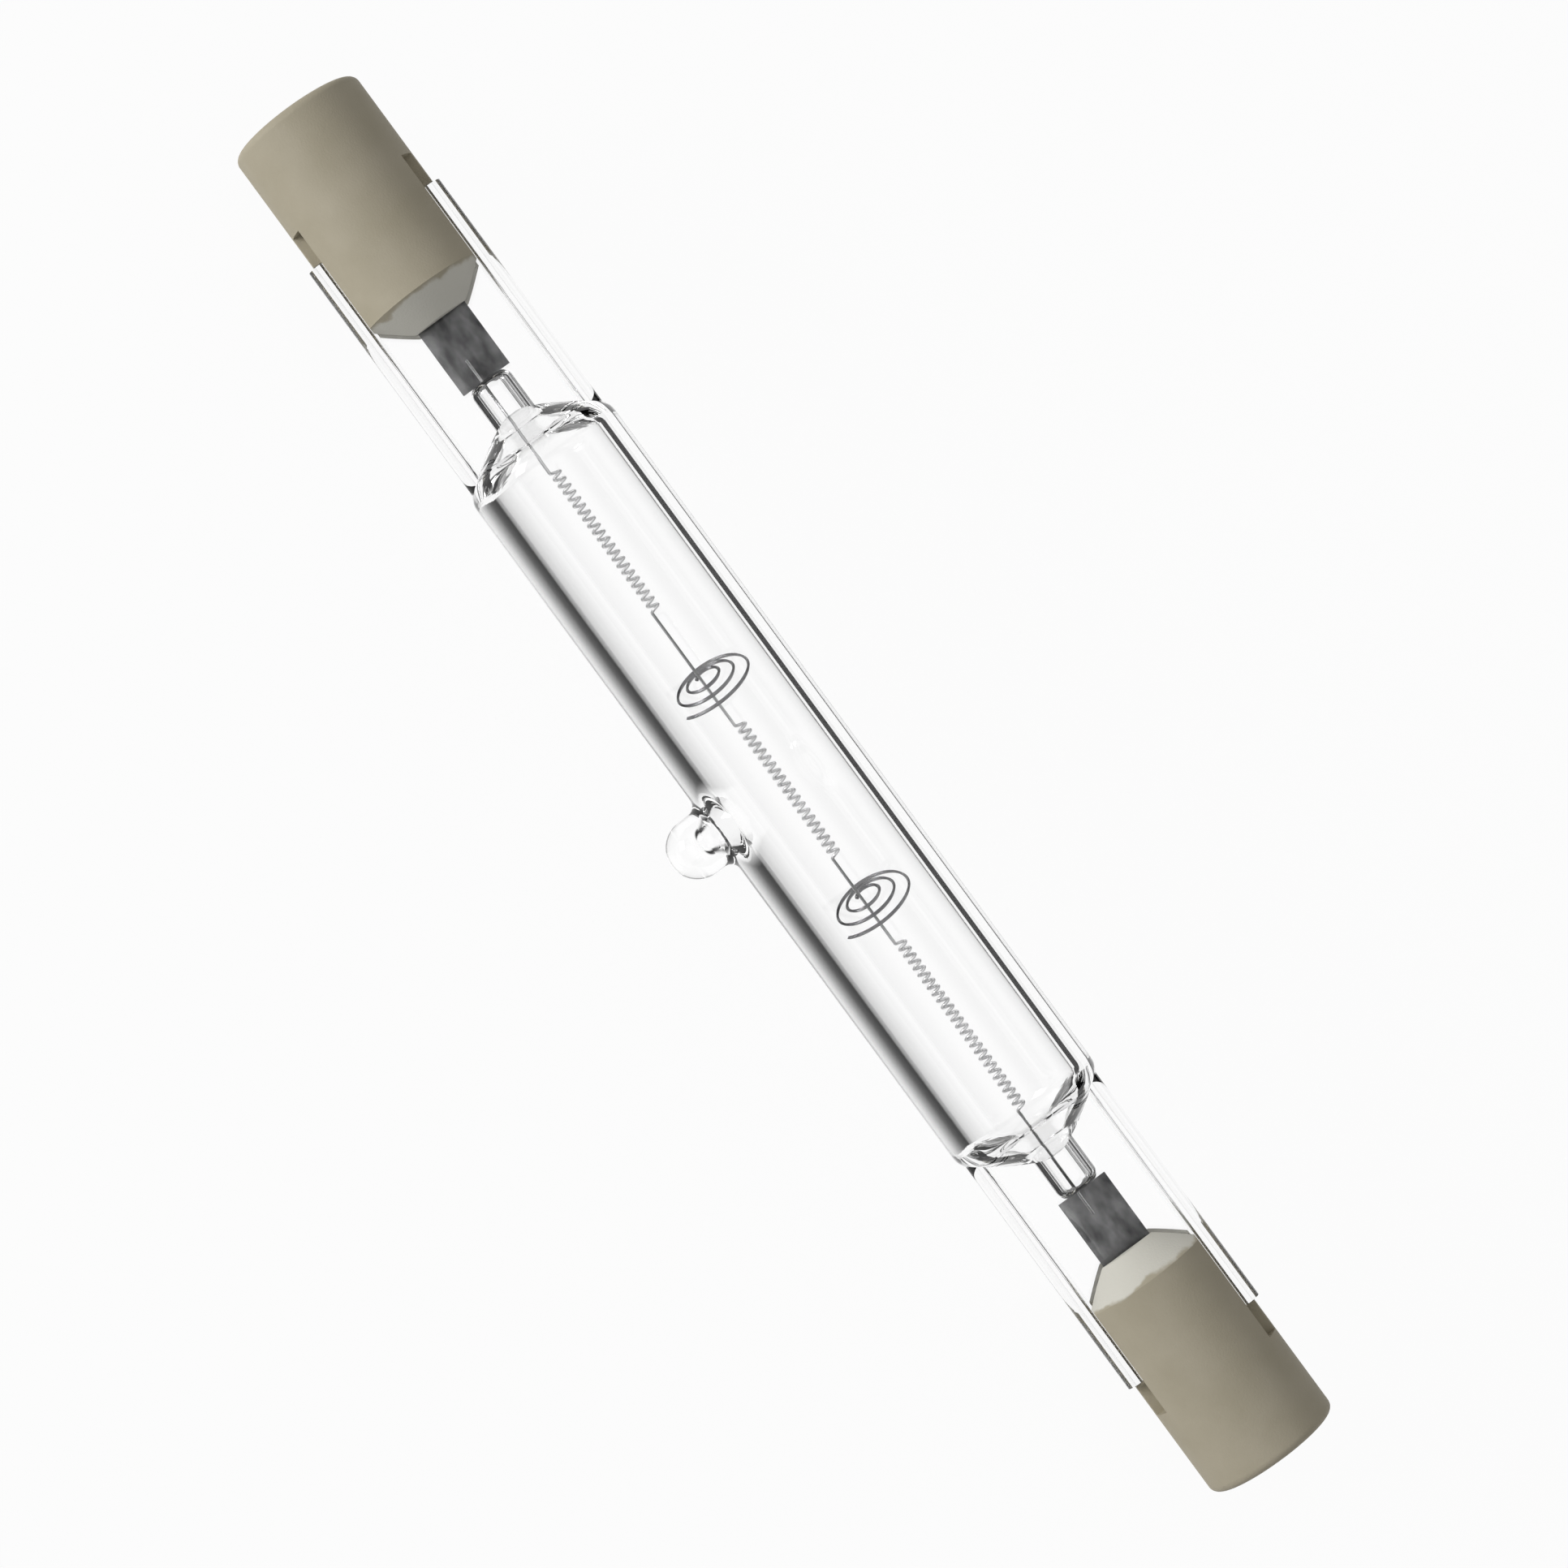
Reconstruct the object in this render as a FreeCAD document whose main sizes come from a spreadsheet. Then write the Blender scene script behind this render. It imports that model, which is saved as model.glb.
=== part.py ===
"""Double-ended linear halogen bulb: quartz tube with pinch seals, ceramic end caps and a coiled filament."""

import FreeCAD, Part
import Sketcher
import math
import os

doc = FreeCAD.newDocument("halogen_bulb")

# Driving sizes in millimetres, turns in whole numbers
SIZES = {
    "lamp_length": 78.3,
    "tube_diameter": 8.1,
    "wall_thickness": 1.0,
    "chamber_length": 39.4,
    "end_slope": 35,
    "chamber_round": 0.9,
    "neck_round": 0.6,
    "pocket_diameter": 2.3,
    "pocket_reach": 4.05,
    "pocket_round": 0.5,
    "pinch_width": 7.6,
    "pinch_thickness": 2.2,
    "rim_width": 0.65,
    "rim_height": 0.25,
    "pinch_corner": 0.6,
    "pinch_setback": 6.5,
    "shoulder_round": 1.2,
    "tip_flare": 0.5,
    "tip_diameter": 3.0,
    "tip_reach": 6.6,
    "duct_diameter": 1.1,
    "cap_diameter": 7.0,
    "cap_length": 11.9,
    "head_length": 4.7,
    "cap_edge": 0.4,
    "prong_width": 6.0,
    "prong_bevel": 1.5,
    "prong_tip_diameter": 3.8,
    "root_thickness": 1.2,
    "cement_gap": 0.15,
    "cement_cover": 0.3,
    "contact_depth": 1.7,
    "contact_thickness": 0.7,
    "contact_dimple": 0.25,
    "recess_diameter": 3.5,
    "contact_step": 0.5,
    "lead_diameter": 0.7,
    "lead_clearance": 0.2,
    "foil_margin": 0.7,
    "foil_width": 2.7,
    "foil_thickness": 0.06,
    "weld_length": 1.3,
    "coil_diameter": 0.64,
    "wire_diameter": 0.16,
    "left_coil_start": 18.4,
    "left_coil_length": 8.2,
    "left_coil_turns": 21,
    "middle_coil_start": 3.6,
    "middle_coil_length": 7.8,
    "middle_coil_turns": 20,
    "right_coil_start": 9.2,
    "right_coil_length": 9.8,
    "right_coil_turns": 26,
    "support_wire": 0.2,
    "support_spread": 3.7,
    "support_turns": 3,
    "support_height": 0.6,
    "support_tilt": 27,
    "support_bite": 0.03,
    "left_support": 6.4,
    "right_support": 6.4,
}

sheet = doc.addObject("Spreadsheet::Sheet", "Sizes")
for row, (word, number) in enumerate(SIZES.items(), start=1):
    cell = "A%d" % row
    sheet.set(cell, str(number))
    sheet.setAlias(cell, word)
doc.recompute()


class Size:
    """A length with its value and the sheet expression that gives it."""

    def __init__(self, text, value):
        self.text = text
        self.value = value

    def __add__(self, other):
        other = size(other)
        return Size("(%s + %s)" % (self.text, other.text), self.value + other.value)

    def __sub__(self, other):
        other = size(other)
        return Size("(%s - %s)" % (self.text, other.text), self.value - other.value)

    def __mul__(self, factor):
        return Size("(%s * %s)" % (self.text, factor), self.value * factor)

    def __truediv__(self, factor):
        return Size("(%s / %s)" % (self.text, factor), self.value / factor)

    def __neg__(self):
        return Size("(-1 * %s)" % self.text, -self.value)


def size(thing):
    """A Size from a sheet word, a plain number or a Size."""
    if isinstance(thing, Size):
        return thing
    if isinstance(thing, str):
        return Size("Sizes.%s" % thing, float(SIZES[thing]))
    return Size(str(thing), float(thing))


def turned(word, angle, factor):
    """The sine, cosine or tangent of a sheet angle in degrees, times a Size."""
    number = getattr(math, word)(math.radians(size(angle).value))
    return Size("(%s(%s) * %s)" % (word, size(angle).text, factor.text), number * factor.value)


ZERO = size(0)
SIDES = ((-1, "left"), (1, "right"))

# Lengths that several pieces share
end_x = size("lamp_length") / 2
tube_r = size("tube_diameter") / 2
bore_r = tube_r - "wall_thickness"
pocket_r = size("pocket_diameter") / 2
corner_x = size("chamber_length") / 2
web_half = size("pinch_thickness") / 2
rim_half = web_half + "rim_height"
pinch_half = size("pinch_width") / 2
pinch_x = end_x - "pinch_setback"
foil_x = corner_x + "pocket_reach"
foil_out_x = pinch_x - "foil_margin"
weld_x = foil_x + "weld_length"
tip_r = size("tip_diameter") / 2
tip_y = size("tip_reach") - tip_r
cap_r = size("cap_diameter") / 2
cap_x = end_x - "cap_length"
head_x = end_x - "head_length"
slot_half = web_half + "cement_gap"
slot_x = pinch_x + "cement_gap"
cement_x = cap_x + "prong_bevel" + "cement_cover"
prong_half = size("prong_width") / 2
cement_half = pinch_half - "rim_width" - "rim_height"
recess_r = size("recess_diameter") / 2
seat_r = recess_r - "contact_step"
root_half = size("root_thickness") / 2
contact_x = end_x - "contact_depth"
ledge_x = contact_x - "contact_thickness"
lead_r = size("lead_diameter") / 2
lead_x = foil_out_x - "weld_length"
wire_r = size("wire_diameter") / 2
coil_r = size("coil_diameter") / 2 - wire_r
foil_top = -wire_r
foil_low = foil_top - "foil_thickness"
foil_half = size("foil_width") / 2
support_r = size("support_wire") / 2

# The lamp lies on its tube and its tip, so everything is rolled about the tube's axis
roll = "asin((%s) / (%s))" % ((tube_r - tip_r).text, tip_y.text)
tip_side = "(%s * cos(%s) + %s)" % (tip_y.text, roll, tip_r.text)
axis_y = "(%s - %s) / 2" % (tip_side, tube_r.text)


def lay_down(thing):
    """Rolls a piece about the tube's axis and lifts it so that the bulb rests on z = 0."""
    thing.Placement = FreeCAD.Placement(FreeCAD.Vector(), FreeCAD.Rotation(FreeCAD.Vector(1, 0, 0), 1))
    thing.setExpression("Placement.Rotation.Angle", roll)
    thing.setExpression("Placement.Base.y", axis_y)
    thing.setExpression("Placement.Base.z", tube_r.text)


def new_body(name):
    body = doc.addObject("PartDesign::Body", name)
    body.Label = name
    lay_down(body)
    return body


def origin_part(body, role):
    return [feature for feature in body.Origin.OriginFeatures if feature.Role == role][0]


def new_sketch(body, name, role, offset=None):
    sketch = body.newObject("Sketcher::SketchObject", name)
    sketch.AttachmentSupport = [(origin_part(body, role), "")]
    sketch.MapMode = "FlatFace"
    if offset is not None:
        sketch.AttachmentOffset = FreeCAD.Placement(FreeCAD.Vector(0, 0, offset.value), FreeCAD.Rotation())
        sketch.setExpression("AttachmentOffset.Base.z", offset.text)
    return sketch


def pin(sketch, geometry, point, corner):
    """Holds a sketch point at its two coordinates."""
    for kind, length in zip(("DistanceX", "DistanceY"), corner):
        if length.value < 0:
            held = Sketcher.Constraint(kind, geometry, point, -1, 1, -length.value)
            number = sketch.addConstraint(held)
            sketch.setExpression("Constraints[%d]" % number, (-length).text)
        else:
            held = Sketcher.Constraint(kind, -1, 1, geometry, point, length.value)
            number = sketch.addConstraint(held)
            sketch.setExpression("Constraints[%d]" % number, length.text)


def add_loop(sketch, corners, bends=()):
    """A closed outline through the corners; bends gives the arc centre for the side after a corner."""
    centres = dict(bends)
    count = len(corners)
    places = [FreeCAD.Vector(x.value, y.value, 0) for x, y in corners]
    ends = []
    for k in range(count):
        a, b = places[k], places[(k + 1) % count]
        if k in centres:
            c = FreeCAD.Vector(centres[k][0].value, centres[k][1].value, 0)
            middle = (a + b) * 0.5 - c
            middle = c + middle * ((a - c).Length / middle.Length)
            arc = Part.Arc(a, middle, b)
            number = sketch.addGeometry(arc, False)
            start = sketch.getPoint(number, 1)
            ends.append((number, 1, 2) if (start - a).Length < (start - b).Length else (number, 2, 1))
        else:
            ends.append((sketch.addGeometry(Part.LineSegment(a, b), False), 1, 2))
    for k in range(count):
        number, first, last = ends[k]
        follower, start, _ = ends[(k + 1) % count]
        sketch.addConstraint(Sketcher.Constraint("Coincident", number, last, follower, start))
        pin(sketch, number, first, corners[k])
        if k in centres:
            radius = sketch.Geometry[number].Radius
            held = sketch.addConstraint(Sketcher.Constraint("Radius", number, radius))
            sketch.setExpression("Constraints[%d]" % held, centres[k][2].text)


def box_corners(low_x, high_x, low_y, high_y):
    return [(low_x, low_y), (high_x, low_y), (high_x, high_y), (low_x, high_y)]


def add_circle(sketch, centre, radius):
    circle = Part.Circle(FreeCAD.Vector(centre[0].value, centre[1].value, 0), FreeCAD.Vector(0, 0, 1), radius.value)
    number = sketch.addGeometry(circle, False)
    pin(sketch, number, 3, centre)
    held = sketch.addConstraint(Sketcher.Constraint("Radius", number, radius.value))
    sketch.setExpression("Constraints[%d]" % held, radius.text)


def spin(body, sketch, kind, axis="X_Axis"):
    feature = body.newObject("PartDesign::" + kind, sketch.Name + "_turned")
    feature.Profile = sketch
    feature.ReferenceAxis = (origin_part(body, axis), [""])
    feature.Angle = 360
    doc.recompute()
    return feature


def push(body, sketch, kind, length, towards):
    """A Pad or Pocket that runs from its sketch to +X or -X by the given length."""
    feature = body.newObject("PartDesign::" + kind, sketch.Name + "_run")
    feature.Profile = sketch
    feature.setExpression("Length", length.text)
    forward = towards > 0
    feature.Reversed = not forward if kind == "Pad" else forward
    doc.recompute()
    return feature


def across(body, name, start, stop, side, kind, shapes):
    """Runs loops and circles, drawn across the tube's axis, from start to stop on one side."""
    sketch = new_sketch(body, name, "YZ_Plane", start * side)
    for shape in shapes:
        if len(shape) == 2:
            add_circle(sketch, shape[0], shape[1])
        else:
            add_loop(sketch, shape)
    return push(body, sketch, kind, stop - start, side)


def mirrored(corners):
    return [(-x, y) for x, y in corners]


# Quartz envelope: tube with bulged ends, two rimmed pinch seals and the exhaust tip
def pinch_outline():
    """Rimmed section across the pinch, in the first quarter and then mirrored round."""
    inner = pinch_half - "rim_width"
    corner = pinch_half - "pinch_corner"
    quarter = [
        (pinch_half, rim_half - "pinch_corner"),
        (corner, rim_half),
        (inner, rim_half),
        (inner - "rim_height", web_half),
    ]
    upper = quarter + mirrored(quarter[::-1])
    lower = [(x, -y) for x, y in upper[::-1]]
    corners = upper + lower
    last = len(corners) // 2 - 2
    round_size = size("pinch_corner")
    bends = {
        0: (corner, rim_half - "pinch_corner", round_size),
        last: (-corner, rim_half - "pinch_corner", round_size),
        last + 2: (-corner, -(rim_half - "pinch_corner"), round_size),
        2 * last + 2: (corner, -(rim_half - "pinch_corner"), round_size),
    }
    return corners, bends.items()


def foil_section():
    return box_corners(-foil_half, foil_half, foil_low, foil_top)


def lead_section():
    return box_corners(-lead_r, lead_r, foil_top, lead_r)


def soften(body, name, wanted, radius):
    """Rounds the edges of the body so far that answer to wanted."""
    base = body.Tip
    edges = ["Edge%d" % k for k, edge in enumerate(base.Shape.Edges, start=1) if wanted(edge)]
    feature = body.newObject("PartDesign::Fillet", name)
    feature.Base = (base, edges)
    feature.setExpression("Radius", radius.text)
    doc.recompute()
    return feature


def at_neck(edge):
    box = edge.BoundBox
    return abs(box.Center.x) < tip_r.value and -tube_r.value < box.YMax < -bore_r.value and box.YLength < tip_r.value


def at_pocket_neck(edge):
    box = edge.BoundBox
    ring = box.XLength < 0.001 and abs(box.YLength - 2 * pocket_r.value) < 0.01
    return ring and abs(abs(box.Center.x) - neck_x.value) < 0.01


def domed_end(radius, virtual_x, round_size):
    """A rounded corner and a sloping end wall, from the tube's wall down to the pocket's radius."""
    bend_x = virtual_x - round_size
    bend_r = radius - round_size
    slope_x = bend_x + turned("cos", "end_slope", round_size)
    slope_r = bend_r + turned("sin", "end_slope", round_size)
    foot_x = slope_x + turned("tan", "end_slope", slope_r - pocket_r)
    return [(bend_x, radius), (slope_x, slope_r), (foot_x, pocket_r)], (bend_x, bend_r, round_size)


def mirrored_bend(bend):
    return (-bend[0], bend[1], bend[2])


envelope = new_body("quartz_envelope")
shoulder_x = corner_x + size("wall_thickness") / 2
tube_end, tube_bend = domed_end(tube_r, shoulder_x, size("shoulder_round"))
cone_x = tube_end[-1][0]
tube_sketch = new_sketch(envelope, "tube_outline", "XY_Plane")
half = tube_end + [(cone_x, ZERO)]
count = 2 * len(half)
add_loop(tube_sketch, half + mirrored(half)[::-1], [(0, tube_bend), (count - 2, mirrored_bend(tube_bend))])
spin(envelope, tube_sketch, "Revolution")
for side, word in SIDES:
    sketch = new_sketch(envelope, word + "_pinch", "YZ_Plane", corner_x * side)
    add_loop(sketch, *pinch_outline())
    push(envelope, sketch, "Pad", pinch_x - corner_x, side)

tip_sketch = new_sketch(envelope, "tip_outline", "XY_Plane")
tip_base = -bore_r
tip_corners = [(ZERO, tip_base), (ZERO, -(tip_y + tip_r)), (tip_r, -tip_y), (tip_r, tip_base)]
add_loop(tip_sketch, tip_corners, [(1, (ZERO, -tip_y, tip_r))])
spin(envelope, tip_sketch, "Revolution", "Y_Axis")
soften(envelope, "neck_flare", at_neck, size("tip_flare"))

chamber = new_sketch(envelope, "chamber_outline", "XY_Plane")
chamber_end, chamber_bend = domed_end(bore_r, corner_x, size("chamber_round"))
neck_x = chamber_end[-1][0]
flat_r = pocket_r - "pocket_round"
round_x = foil_x - "pocket_round"
half = chamber_end + [(round_x, pocket_r), (foil_x, flat_r), (foil_x, ZERO)]
count = 2 * len(half)
pocket_bend = (round_x, flat_r, size("pocket_round"))
bends = [
    (0, chamber_bend),
    (3, pocket_bend),
    (count - 5, mirrored_bend(pocket_bend)),
    (count - 2, mirrored_bend(chamber_bend)),
]
add_loop(chamber, half + mirrored(half)[::-1], bends)
spin(envelope, chamber, "Groove")
soften(envelope, "neck_rounding", at_pocket_neck, size("neck_round"))

duct = new_sketch(envelope, "duct_outline", "XY_Plane")
duct_r = size("duct_diameter") / 2
duct_end = -(tip_y - duct_r)
add_loop(
    duct,
    [
        (ZERO, -(bore_r - "wall_thickness")),
        (ZERO, duct_end - duct_r),
        (duct_r, duct_end),
        (duct_r + size("wall_thickness") / 4, -tube_r),
        (tip_r + size("wall_thickness") / 2, -(bore_r - "wall_thickness")),
    ],
    [(1, (ZERO, duct_end, duct_r))],
)
spin(envelope, duct, "Groove", "Y_Axis")

for side, word in SIDES:
    across(envelope, word + "_foil_seat", foil_x, foil_out_x, side, "Pocket", [foil_section()])
    across(envelope, word + "_wire_seat", foil_x - pocket_r, weld_x, side, "Pocket", [((-coil_r, ZERO), wire_r)])
    across(envelope, word + "_flat_seat", lead_x, foil_out_x, side, "Pocket", [lead_section()])
    across(envelope, word + "_lead_seat", foil_out_x, pinch_x, side, "Pocket", [((ZERO, ZERO), lead_r)])


# End pieces: ceramic cap, contact, cement, outer lead and foil on each side
def flip(corners, side):
    return [(x * side, y) for x, y in corners]


for side, word in SIDES:
    cap = new_body("ceramic_cap_" + word)
    sketch = new_sketch(cap, word + "_cap_outline", "XY_Plane")
    hole_r = lead_r + "lead_clearance"
    outline = [
        (ledge_x, seat_r),
        (contact_x, seat_r),
        (contact_x, recess_r),
        (end_x, recess_r),
        (end_x, cap_r - "cap_edge"),
        (end_x - "cap_edge", cap_r),
        (cap_x + "prong_bevel", cap_r),
        (cap_x, size("prong_tip_diameter") / 2),
        (cap_x, hole_r),
        (ledge_x, hole_r),
    ]
    centre = ((end_x - "cap_edge") * side, cap_r - "cap_edge", size("cap_edge"))
    add_loop(sketch, flip(outline, side), [(4, centre)])
    spin(cap, sketch, "Revolution")
    wide = cap_r + "cement_gap"
    slot = box_corners(-wide, wide, -slot_half, slot_half)
    across(cap, word + "_slot", cap_x - "cement_gap", slot_x, side, "Pocket", [slot])
    flats = []
    for across_side in (-1, 1):
        for level in (-1, 1):
            corner = box_corners(prong_half, wide, root_half, wide)
            flats.append([(x * across_side, y * level) for x, y in corner])
    across(cap, word + "_flats", cap_x - "cement_gap", head_x, side, "Pocket", flats)

    contact = new_body("contact_" + word)
    sketch = new_sketch(contact, word + "_contact_outline", "XY_Plane")
    dimple_r = lead_r
    outline = [
        (ledge_x, ZERO),
        (ledge_x, seat_r),
        (contact_x - "contact_dimple", seat_r),
        (contact_x, seat_r - "contact_dimple"),
        (contact_x, dimple_r + "contact_dimple"),
        (contact_x - "contact_dimple", dimple_r),
        (contact_x - "contact_dimple", ZERO),
    ]
    add_loop(sketch, flip(outline, side))
    spin(contact, sketch, "Revolution")

    lead = new_body("outer_lead_" + word)
    across(lead, word + "_lead_rod", foil_out_x, ledge_x, side, "Pad", [((ZERO, ZERO), lead_r)])
    across(lead, word + "_lead_flat", lead_x, foil_out_x, side, "Pad", [lead_section()])

    cement = new_body("cement_" + word)
    block = box_corners(-cement_half, cement_half, -slot_half, slot_half)
    across(cement, word + "_cement_block", cement_x, slot_x, side, "Pad", [block])
    gap = box_corners(-pinch_half, pinch_half, -web_half, web_half)
    across(cement, word + "_pinch_gap", cap_x, pinch_x, side, "Pocket", [gap])
    across(cement, word + "_lead_gap", pinch_x, slot_x, side, "Pocket", [((ZERO, ZERO), lead_r)])

    foil = new_body("moly_foil_" + word)
    across(foil, word + "_foil_strip", foil_x, foil_out_x, side, "Pad", [foil_section()])


# Filament: one wire wound into three coils, with straight runs between them and a leg welded to each foil
STEPS = 8
SECTION = 4


def filament_path():
    """Points along the wire, in the bulb's own directions."""
    coils = [
        (-size("left_coil_start").value, size("left_coil_length").value, SIZES["left_coil_turns"]),
        (-size("middle_coil_start").value, size("middle_coil_length").value, SIZES["middle_coil_turns"]),
        (size("right_coil_start").value, size("right_coil_length").value, SIZES["right_coil_turns"]),
    ]
    radius = coil_r.value
    points = [FreeCAD.Vector(-weld_x.value, -radius, 0)]
    for start, length, turns in coils:
        count = round(turns) * STEPS
        for k in range(count + 1):
            angle = 2 * math.pi * k / STEPS
            x = start + length * k / count
            points.append(FreeCAD.Vector(x, -radius * math.cos(angle), -radius * math.sin(angle)))
    points.append(FreeCAD.Vector(weld_x.value, -radius, 0))
    return points


def wire_solid(points, reach):
    """A closed solid of flat faces round a path, with the section carried along without twist."""
    last = len(points) - 1
    normal = FreeCAD.Vector(0, 0, 1)
    corners = []
    for k, point in enumerate(points):
        ahead = (points[min(k + 1, last)] - points[max(k - 1, 0)]).normalize()
        normal = (normal - ahead * normal.dot(ahead)).normalize()
        sideways = ahead.cross(normal)
        for j in range(SECTION):
            angle = 2 * math.pi * j / SECTION
            corners.append(point + normal * (reach * math.cos(angle)) + sideways * (reach * math.sin(angle)))
    faces = [tuple(range(SECTION)[::-1]), tuple(range(last * SECTION, (last + 1) * SECTION))]
    for k in range(last):
        for j in range(SECTION):
            a, b = k * SECTION + j, k * SECTION + (j + 1) % SECTION
            faces.append((a, b, b + SECTION))
            faces.append((a, b + SECTION, a + SECTION))
    triangles = []
    for face in faces:
        for k in range(1, len(face) - 1):
            triangles.append((face[0], face[k], face[k + 1]))
    shell = Part.Shape()
    shell.makeShapeFromMesh((corners, triangles), 0.0001)
    solid = Part.makeSolid(shell)
    if solid.Volume < 0:
        solid.reverse()
    return solid


filament = doc.addObject("Part::Feature", "filament")
filament.Label = "filament"
filament.Shape = wire_solid(filament_path(), wire_r.value)
lay_down(filament)

# Filament supports: tilted wire spirals hooked round the straight wire
def diamond(x, y, reach):
    return [(x + reach, y), (x, y + reach), (x - reach, y), (x, y - reach)]


for side, word in SIDES:
    support = new_body("filament_support_" + word)
    middle = size(word + "_support") * side
    inner = coil_r + wire_r + support_r - "support_bite"
    outer = size("support_spread") / 2 - support_r
    sketch = new_sketch(support, word + "_support_section", "XY_Plane")
    tilt = FreeCAD.Rotation(FreeCAD.Vector(0, 1, 0), SIZES["support_tilt"])
    sketch.AttachmentOffset = FreeCAD.Placement(FreeCAD.Vector(middle.value, 0, 0), tilt)
    sketch.setExpression("AttachmentOffset.Base.x", middle.text)
    sketch.setExpression("AttachmentOffset.Rotation.Angle", size("support_tilt").text)
    add_loop(sketch, diamond(ZERO, -inner, support_r))
    winding = support.newObject("PartDesign::AdditiveHelix", word + "_support_winding")
    winding.Profile = sketch
    winding.ReferenceAxis = (sketch, ["H_Axis"])
    winding.Mode = "height-turns-growth"
    winding.setExpression("Height", size("support_height").text)
    winding.setExpression("Turns", size("support_turns").text)
    winding.setExpression("Growth", "(%s) / Sizes.support_turns" % (outer - inner).text)
    winding.Refine = False
    doc.recompute()
    reach = size("support_wire") * 4
    across(support, word + "_wire_hollow", middle - reach, middle + reach, 1, "Pocket", [((-coil_r, ZERO), wire_r)])

doc.recompute()

# Every object is sound before any file is written
bodies = [thing for thing in doc.Objects if thing.isDerivedFrom("PartDesign::Body")] + [filament]
for thing in doc.Objects:
    if "Invalid" in thing.State or "Error" in thing.State:
        raise RuntimeError("%s did not build" % thing.Name)
for body in bodies:
    shape = body.Shape
    if shape.isNull() or not shape.isValid() or len(shape.Solids) != 1:
        raise RuntimeError("%s is not one sound solid" % body.Label)

os.makedirs("parts", exist_ok=True)
for body in bodies:
    body.Shape.exportStep("parts/%s.step" % body.Label)
    print(body.Label, len(body.Shape.Faces), round(body.Shape.Volume, 4))
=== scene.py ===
import math

import bpy
from mathutils import Matrix, Vector


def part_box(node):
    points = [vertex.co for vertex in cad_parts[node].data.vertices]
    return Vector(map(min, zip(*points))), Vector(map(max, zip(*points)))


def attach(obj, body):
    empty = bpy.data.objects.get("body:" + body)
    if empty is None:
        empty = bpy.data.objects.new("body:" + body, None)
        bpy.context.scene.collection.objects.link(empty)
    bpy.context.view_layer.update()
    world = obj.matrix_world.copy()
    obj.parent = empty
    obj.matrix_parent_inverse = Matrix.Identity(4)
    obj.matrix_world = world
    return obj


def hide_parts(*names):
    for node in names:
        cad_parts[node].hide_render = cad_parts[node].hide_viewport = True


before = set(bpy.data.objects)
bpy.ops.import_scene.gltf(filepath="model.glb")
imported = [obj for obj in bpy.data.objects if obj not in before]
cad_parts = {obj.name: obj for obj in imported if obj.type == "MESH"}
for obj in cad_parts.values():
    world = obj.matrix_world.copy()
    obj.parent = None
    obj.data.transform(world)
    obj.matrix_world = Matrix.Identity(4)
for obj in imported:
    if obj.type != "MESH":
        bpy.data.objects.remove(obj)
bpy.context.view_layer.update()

MM = 0.001

# The bulb lies on its tube and its tip, so its own directions are rolled about X
ROLL = math.radians(30.0)
ALONG = Vector((1, 0, 0))
ACROSS = Vector((0, math.cos(ROLL), math.sin(ROLL)))
FACING = Vector((0, -math.sin(ROLL), math.cos(ROLL)))
cap_low, cap_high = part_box("ceramic_cap_left")
MIDDLE = Vector((0, (cap_low[1] + cap_high[1]) / 2, (cap_low[2] + cap_high[2]) / 2))
FORK_EDGE = -cap_high[0]


# Node helpers
def new_math(nodes, links, operation, *values):
    """A Math node whose inputs are sockets or plain numbers."""
    node = nodes.new("ShaderNodeMath")
    node.operation = operation
    for socket, value in zip(node.inputs, values):
        if isinstance(value, (int, float)):
            socket.default_value = value
        else:
            links.new(value, socket)
    return node.outputs[0]


def axes(nodes, links, kind):
    """The X, Y and Z sockets of one kind of coordinates."""
    place = nodes.new("ShaderNodeTexCoord")
    split = nodes.new("ShaderNodeSeparateXYZ")
    links.new(place.outputs[kind], split.inputs["Vector"])
    return split.outputs


def fade_out(nodes, links, source, start, end):
    """1 up to start, 0 from end on, smooth between them."""
    fade = nodes.new("ShaderNodeMapRange")
    fade.interpolation_type = "SMOOTHSTEP"
    fade.inputs["From Min"].default_value = start
    fade.inputs["From Max"].default_value = end
    fade.inputs["To Min"].default_value = 1.0
    fade.inputs["To Max"].default_value = 0.0
    links.new(source, fade.inputs["Value"])
    return fade.outputs["Result"]


def seen_directly(nodes, links):
    """1 for what the camera, a reflection or the glass looks at, 0 for what only lights things."""
    path = nodes.new("ShaderNodeLightPath").outputs
    mirrored = new_math(nodes, links, "MAXIMUM", path["Is Camera Ray"], path["Is Glossy Ray"])
    return new_math(nodes, links, "MAXIMUM", mirrored, path["Is Transmission Ray"])


def mix_shaders(nodes, links, factor, first, second, output):
    mix = nodes.new("ShaderNodeMixShader")
    links.new(factor, mix.inputs["Fac"])
    links.new(first.outputs[0], mix.inputs[1])
    links.new(second.outputs[0], mix.inputs[2])
    out = nodes.new(output)
    links.new(mix.outputs[0], out.inputs["Surface"])


def add_noise(nodes, links, scale, detail, stretch=(1, 1, 1)):
    """Noise in the object's own coordinates, in cycles per metre."""
    place = nodes.new("ShaderNodeTexCoord")
    squeeze = nodes.new("ShaderNodeMapping")
    squeeze.inputs["Scale"].default_value = stretch
    noise = nodes.new("ShaderNodeTexNoise")
    noise.inputs["Scale"].default_value = scale
    noise.inputs["Detail"].default_value = detail
    links.new(place.outputs["Object"], squeeze.inputs["Vector"])
    links.new(squeeze.outputs["Vector"], noise.inputs["Vector"])
    return noise.outputs["Fac"]


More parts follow.
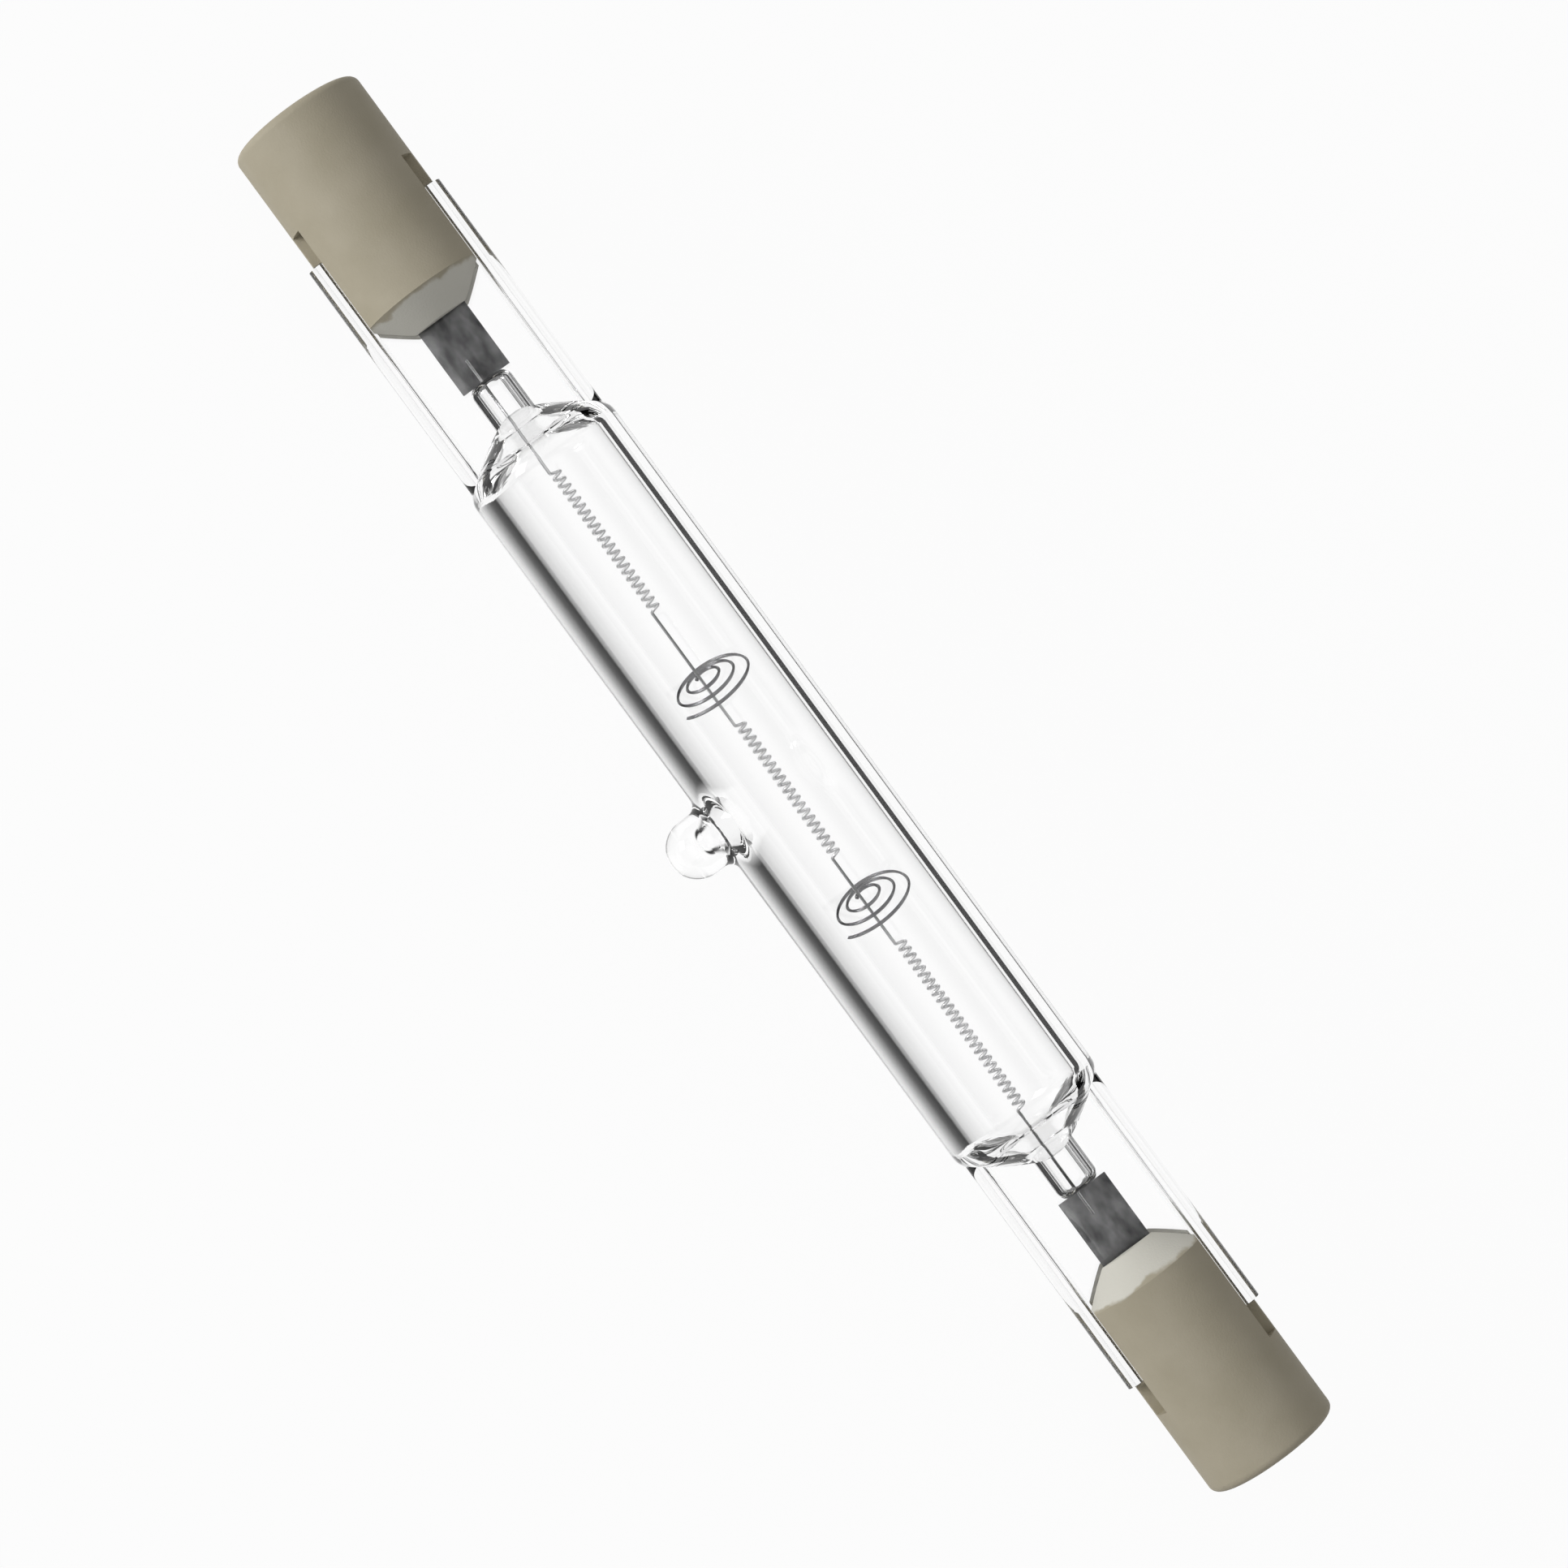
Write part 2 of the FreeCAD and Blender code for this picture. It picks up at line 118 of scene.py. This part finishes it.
def add_ramp(nodes, links, source, stops):
    """A colour ramp from stops of (position, colour), where a plain number is a grey."""
    ramp = nodes.new("ShaderNodeValToRGB")
    elements = ramp.color_ramp.elements
    while len(elements) < len(stops):
        elements.new(0.5)
    for element, (position, colour) in zip(elements, stops):
        if isinstance(colour, float):
            colour = (colour, colour, colour)
        element.position = position
        element.color = (*colour, 1)
    links.new(source, ramp.inputs["Fac"])
    return ramp.outputs["Color"]


def add_bump(nodes, links, shader, source, strength, distance):
    bump = nodes.new("ShaderNodeBump")
    bump.inputs["Strength"].default_value = strength
    bump.inputs["Distance"].default_value = distance
    links.new(source, bump.inputs["Height"])
    links.new(bump.outputs["Normal"], shader.inputs["Normal"])


# Materials
def new_material(name):
    material = bpy.data.materials.new(name)
    material.use_nodes = True
    nodes = material.node_tree.nodes
    return material, nodes, material.node_tree.links, nodes["Principled BSDF"]


def ceramic(name, low, high, grain):
    material, nodes, links, shader = new_material(name)
    cloud = add_noise(nodes, links, scale=420, detail=4)
    colour = add_ramp(nodes, links, cloud, [(0.3, low), (0.7, high)])
    links.new(colour, shader.inputs["Base Color"])
    shader.inputs["Roughness"].default_value = 0.62
    shader.inputs["Specular IOR Level"].default_value = 0.35
    fine = add_noise(nodes, links, scale=grain, detail=6)
    add_bump(nodes, links, shader, fine, strength=0.25, distance=0.06 * MM)
    return material


# Sockets of a Mix node that mixes colours
MIX_FACTOR, MIX_A, MIX_B, MIX_RESULT = 0, 6, 7, 2


def cement_and_painted_highlight(material, colour, depth, wander, softness):
    """A lighter tone over the fork's bevel, partly cement wiped over it and partly a painted highlight of the
    lit bevel, down to an uneven line about that deep behind the fork's edge.
    """
    nodes, links = material.node_tree.nodes, material.node_tree.links
    base = nodes["Principled BSDF"].inputs["Base Color"]
    under = base.links[0].from_socket
    along = new_math(nodes, links, "ABSOLUTE", axes(nodes, links, "Object")["X"])
    uneven = add_noise(nodes, links, scale=700, detail=5)
    shift = new_math(nodes, links, "MULTIPLY", uneven, wander)
    line = FORK_EDGE + depth + wander / 2
    shifted = new_math(nodes, links, "ADD", along, shift)
    cover = fade_out(nodes, links, shifted, line - softness / 2, line + softness / 2)
    # Mix in the lighter bevel tone: partly cement, partly painted highlight
    mix = nodes.new("ShaderNodeMix")
    mix.data_type = "RGBA"
    links.new(cover, mix.inputs[MIX_FACTOR])
    links.new(under, mix.inputs[MIX_A])
    mix.inputs[MIX_B].default_value = (*colour, 1)
    links.new(mix.outputs[MIX_RESULT], base)
    return material


def metal(name, low, high, roughness, scale, stretch=(1, 1, 1)):
    material, nodes, links, shader = new_material(name)
    streak = add_noise(nodes, links, scale, 5, stretch)
    colour = add_ramp(nodes, links, streak, [(0.35, low), (0.65, high)])
    links.new(colour, shader.inputs["Base Color"])
    shader.inputs["Metallic"].default_value = 1.0
    shader.inputs["Roughness"].default_value = roughness
    add_bump(nodes, links, shader, streak, strength=0.2, distance=0.02 * MM)
    return material


def quartz(name):
    material, nodes, links, shader = new_material(name)
    shader.inputs["Base Color"].default_value = (1, 1, 1, 1)
    shader.inputs["Roughness"].default_value = 0.0
    shader.inputs["IOR"].default_value = 1.458
    shader.inputs["Transmission Weight"].default_value = 1.0
    drawn = add_noise(nodes, links, scale=160, detail=2, stretch=(0.25, 1, 1))
    add_bump(nodes, links, shader, drawn, strength=0.08, distance=0.2 * MM)
    return material


steatite = ceramic("steatite", low=(0.365, 0.328, 0.242), high=(0.405, 0.365, 0.278), grain=9000)
# The bevel's lighter tone on both caps is partly cement and partly a painted highlight
cement_and_painted_highlight(steatite, colour=(0.62, 0.605, 0.54), depth=1.35 * MM, wander=0.9 * MM, softness=0.2 * MM)
LOOKS = {
    "quartz": quartz("quartz"),
    "steatite": steatite,
    "cement": ceramic("cement", low=(0.55, 0.54, 0.5), high=(0.72, 0.71, 0.67), grain=3000),
    "contact": metal("contact", (0.5, 0.49, 0.46), (0.66, 0.65, 0.62), roughness=0.3, scale=900),
    "lead": metal("lead", (0.3, 0.3, 0.31), (0.42, 0.42, 0.43), roughness=0.4, scale=600, stretch=(0.1, 1, 1)),
    "foil": metal(
        "foil", (0.045, 0.045, 0.047), (0.29, 0.29, 0.293), roughness=0.42, scale=1100, stretch=(0.55, 1, 1)
    ),
    "support": metal("support", (0.1, 0.1, 0.105), (0.2, 0.2, 0.205), roughness=0.4, scale=900),
    "tungsten": metal("tungsten", (0.66, 0.66, 0.665), (0.8, 0.8, 0.805), roughness=0.4, scale=1500),
}
NODE_LOOKS = {"quartz_envelope": "quartz", "filament": "tungsten"}
for side in ("left", "right"):
    NODE_LOOKS["ceramic_cap_" + side] = "steatite"
    NODE_LOOKS["contact_" + side] = "contact"
    NODE_LOOKS["outer_lead_" + side] = "lead"
    NODE_LOOKS["cement_" + side] = "cement"
    NODE_LOOKS["moly_foil_" + side] = "foil"
    NODE_LOOKS["filament_support_" + side] = "support"
for node, look in NODE_LOOKS.items():
    for slot in bpy.data.objects[node].material_slots:
        slot.material = LOOKS[look]


# The filament's wire, round and smooth along the path of the solid that it stands for
COIL_R = 0.24 * MM
WIRE_R = 0.08 * MM
# Start, length and turns of each coil
COILS = [(-18.4 * MM, 8.2 * MM, 21), (-3.6 * MM, 7.8 * MM, 20), (9.2 * MM, 9.8 * MM, 26)]
TURN_STEPS = 20
WIRE_SIDES = 8


def filament_path():
    """Leg, coils with straight wire between them, leg."""
    leg_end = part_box("filament")[1][0]
    points = [(-leg_end, 0.0)]
    for start, length, turns in COILS:
        count = turns * TURN_STEPS
        for k in range(count + 1):
            points.append((start + length * k / count, 2 * math.pi * k / TURN_STEPS))
    points.append((leg_end, 0.0))
    path = []
    for x, angle in points:
        outward = ACROSS * math.cos(angle) + FACING * math.sin(angle)
        path.append(MIDDLE + ALONG * x - outward * COIL_R)
    return path


def wire_mesh(name, path):
    """A round wire along the path, its section carried along without twist."""
    last = len(path) - 1
    normal = FACING.copy()
    rings = []
    for k, point in enumerate(path):
        ahead = (path[min(k + 1, last)] - path[max(k - 1, 0)]).normalized()
        normal = (normal - ahead * normal.dot(ahead)).normalized()
        sideways = ahead.cross(normal)
        for j in range(WIRE_SIDES):
            angle = 2 * math.pi * j / WIRE_SIDES
            rings.append(point + (normal * math.cos(angle) + sideways * math.sin(angle)) * WIRE_R)
    first_end = tuple(reversed(range(WIRE_SIDES)))
    last_end = tuple(range(last * WIRE_SIDES, (last + 1) * WIRE_SIDES))
    faces = [first_end, last_end]
    for k in range(last):
        for j in range(WIRE_SIDES):
            a, b = k * WIRE_SIDES + j, k * WIRE_SIDES + (j + 1) % WIRE_SIDES
            faces.append((a, b, b + WIRE_SIDES, a + WIRE_SIDES))
    mesh = bpy.data.meshes.new(name)
    mesh.from_pydata(rings, [], faces)
    mesh.shade_smooth()
    return mesh


wire = bpy.data.objects.new("filament_wire", wire_mesh("filament_wire", filament_path()))
bpy.context.scene.collection.objects.link(wire)
wire.data.materials.append(LOOKS["tungsten"])
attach(wire, "root")
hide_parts("filament")

# Floor: white to what looks at it, with a share of its own shade, so that it keeps the shadow
FLOOR_SIZE = 6.0
FLOOR_TONE = 0.85
FLOOR_GLOW = 0.95
bpy.ops.mesh.primitive_plane_add(size=FLOOR_SIZE, location=(0, 0, 0))
floor = bpy.context.object
floor.name = "floor"
paint = bpy.data.materials.new("floor_paint")
paint.use_nodes = True
nodes, links = paint.node_tree.nodes, paint.node_tree.links
nodes.clear()
diffuse = nodes.new("ShaderNodeBsdfDiffuse")
diffuse.inputs["Color"].default_value = (FLOOR_TONE, FLOOR_TONE, FLOOR_TONE, 1)
glow = nodes.new("ShaderNodeEmission")
glow.inputs["Color"].default_value = (1, 1, 1, 1)
glow.inputs["Strength"].default_value = 1.0
glow_share = new_math(nodes, links, "MULTIPLY", seen_directly(nodes, links), FLOOR_GLOW)
mix_shaders(nodes, links, glow_share, diffuse, glow, "ShaderNodeOutputMaterial")
floor.data.materials.append(paint)

# World: even light, but what looks at it sees a white ceiling above a dark room
WORLD_LIGHT = 0.43
ROOM_TONES = [(0.0, 0.02), (0.3, 0.05), (0.6, 1.0)]
world = bpy.data.worlds.new("studio")
bpy.context.scene.world = world
world.use_nodes = True
nodes, links = world.node_tree.nodes, world.node_tree.links
nodes.clear()
light = nodes.new("ShaderNodeBackground")
light.inputs["Color"].default_value = (1, 1, 1, 1)
light.inputs["Strength"].default_value = WORLD_LIGHT
room = nodes.new("ShaderNodeBackground")
room.inputs["Strength"].default_value = 1.0
height = axes(nodes, links, "Generated")["Z"]
links.new(add_ramp(nodes, links, height, ROOM_TONES), room.inputs["Color"])
mix_shaders(nodes, links, seen_directly(nodes, links), light, room, "ShaderNodeOutputWorld")


# Lamp and cards
def softbox(name, direction, distance, width, watts):
    lamp_data = bpy.data.lights.new(name, "AREA")
    lamp_data.shape = "SQUARE"
    lamp_data.size = width
    lamp_data.energy = watts
    lamp = bpy.data.objects.new(name, lamp_data)
    bpy.context.scene.collection.objects.link(lamp)
    lamp.location = MIDDLE + direction.normalized() * distance
    lamp.rotation_euler = (-direction).to_track_quat("-Z", "Y").to_euler()


CARD_LIFT = 0.02 * MM


def edge_card(name, x_span, y_span, material):
    """A card on the floor that only the glass sees, so that its edges stand out. Spans in mm."""
    corners = []
    for i, j in ((0, 0), (1, 0), (1, 1), (0, 1)):
        corners.append((x_span[i] * MM, y_span[j] * MM, CARD_LIFT))
    mesh = bpy.data.meshes.new(name)
    mesh.from_pydata(corners, [], [(0, 1, 2, 3)])
    mesh.materials.append(material)
    card = bpy.data.objects.new(name, mesh)
    bpy.context.scene.collection.objects.link(card)
    card.visible_camera = False
    card.visible_diffuse = False
    card.visible_glossy = False
    card.visible_shadow = False


# The shaded card's tones across it, over a width that starts at that Y, and its white gap at the tip
SHADE_START = -4.0 * MM
SHADE_WIDTH = 5.0 * MM
SHADE_TONES = [(0.0, 0.01), (0.16, 0.04), (0.36, 0.25), (0.56, 0.6), (0.72, 0.85), (0.95, 1.0)]
GAP_START = 1.2 * MM
GAP_END = 2.6 * MM


def shaded_card():
    """Dark away from the bulb, fading to the floor's white under it and beside the tip."""
    material = bpy.data.materials.new("card_shade")
    material.use_nodes = True
    nodes, links = material.node_tree.nodes, material.node_tree.links
    nodes.clear()
    place = axes(nodes, links, "Object")
    share = new_math(nodes, links, "MULTIPLY_ADD", place["Y"], 1 / SHADE_WIDTH, -SHADE_START / SHADE_WIDTH)
    across = add_ramp(nodes, links, share, SHADE_TONES)
    along = new_math(nodes, links, "ABSOLUTE", place["X"])
    gap = fade_out(nodes, links, along, GAP_START, GAP_END)
    glow = nodes.new("ShaderNodeEmission")
    links.new(new_math(nodes, links, "MAXIMUM", across, gap), glow.inputs["Color"])
    out = nodes.new("ShaderNodeOutputMaterial")
    links.new(glow.outputs[0], out.inputs["Surface"])
    return material


felt, _, _, felt_shader = new_material("card_felt")
felt_shader.inputs["Base Color"].default_value = (0.01, 0.01, 0.01, 1)
felt_shader.inputs["Roughness"].default_value = 1.0
edge_card("near_card", (-19.6, 19.6), (-6, 1), shaded_card())
edge_card("near_card_left", (-36, -21), (-7, -2.3), felt)
edge_card("near_card_right", (21, 36), (-7, -2.3), felt)
edge_card("far_card", (-36, 36), (20, 60), felt)
edge_card("end_card_left", (-110, -44), (-60, 60), felt)
edge_card("end_card_right", (44, 110), (-60, 60), felt)

KEY_SIDE = FACING * 0.45 - ACROSS * 0.65 - ALONG * 0.6
softbox("key", KEY_SIDE, distance=0.5, width=0.25, watts=2.6)

# Camera: straight at the flat of the pinches, turned so that the bulb runs from upper left to lower right
AXIS_RIGHT = 0.5922
AXIS_DOWN = 0.8058
FRAME_PIXELS = 1932
PIXEL = 0.03845 * MM
LENS = 100.0
SENSOR = 36.0
turn = math.atan2(AXIS_DOWN, AXIS_RIGHT)
right = ALONG * math.cos(turn) + ACROSS * math.sin(turn)
up = -ALONG * math.sin(turn) + ACROSS * math.cos(turn)
eye = MIDDLE + FACING * (FRAME_PIXELS * PIXEL * LENS / SENSOR)
camera_data = bpy.data.cameras.new("camera")
camera_data.lens = LENS
camera_data.sensor_width = SENSOR
camera_data.clip_start = 5.0 * MM
camera = bpy.data.objects.new("camera", camera_data)
bpy.context.scene.collection.objects.link(camera)
camera.matrix_world = Matrix(
    (
        (right.x, up.x, FACING.x, eye.x),
        (right.y, up.y, FACING.y, eye.y),
        (right.z, up.z, FACING.z, eye.z),
        (0, 0, 0, 1),
    )
)
bpy.context.scene.camera = camera
bpy.context.scene.view_settings.view_transform = "Standard"
